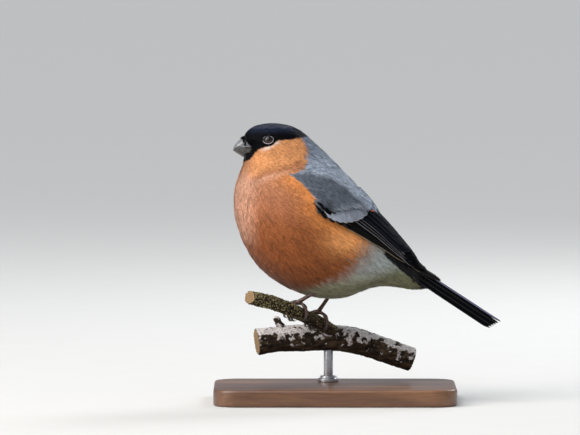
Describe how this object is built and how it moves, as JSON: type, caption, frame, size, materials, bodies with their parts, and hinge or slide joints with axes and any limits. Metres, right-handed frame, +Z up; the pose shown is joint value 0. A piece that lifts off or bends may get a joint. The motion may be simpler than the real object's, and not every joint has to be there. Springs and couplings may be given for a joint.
{
  "type": "bullfinch on a perch",
  "caption": "Life-size male bullfinch with black cap, orange breast and folded wings, gripping a cut mossy branch on a small wooden display stand.",
  "frame": {"origin": "centre of the display stand's flat underside, on the floor", "axes": "+Z up; the bird faces -X, its left side faces -Y"},
  "size_m": [0.1349, 0.074, 0.1313],
  "materials": {
    "black_plumage": "glossy blue-black feathers of the cap",
    "rosy_plumage": "soft orange breast, grey back and whitish vent feathers",
    "wing_feather": "blue-black flight feathers with a pale grey wing bar",
    "tail_feather": "blue-black, slightly glossy",
    "horn": "black horn, satin",
    "eye": "dark brown, wet gloss",
    "leg_scale": "brown-pink horny scales",
    "bark": "rough bark with grey lichen",
    "mossy_bark": "thin bark with yellow-green moss",
    "rod_metal": "brushed rod",
    "base_wood": "plain oiled wood, satin"
  },
  "bodies": {
    "root": {"head": "black_plumage", "neck": "rosy_plumage", "torso": "rosy_plumage", "tail": "tail_feather", "wing_left": "wing_feather", "wing_right": "wing_feather", "bill_upper": "horn", "bill_lower": "horn", "eye_left": "eye", "eye_right": "eye", "leg_left": "leg_scale", "leg_right": "leg_scale", "foot_left": "leg_scale", "foot_right": "leg_scale", "perch_branch": "bark", "perch_twig": "mossy_bark", "stand_base": "base_wood", "stand_rod": "rod_metal"}
  },
  "joints": []
}
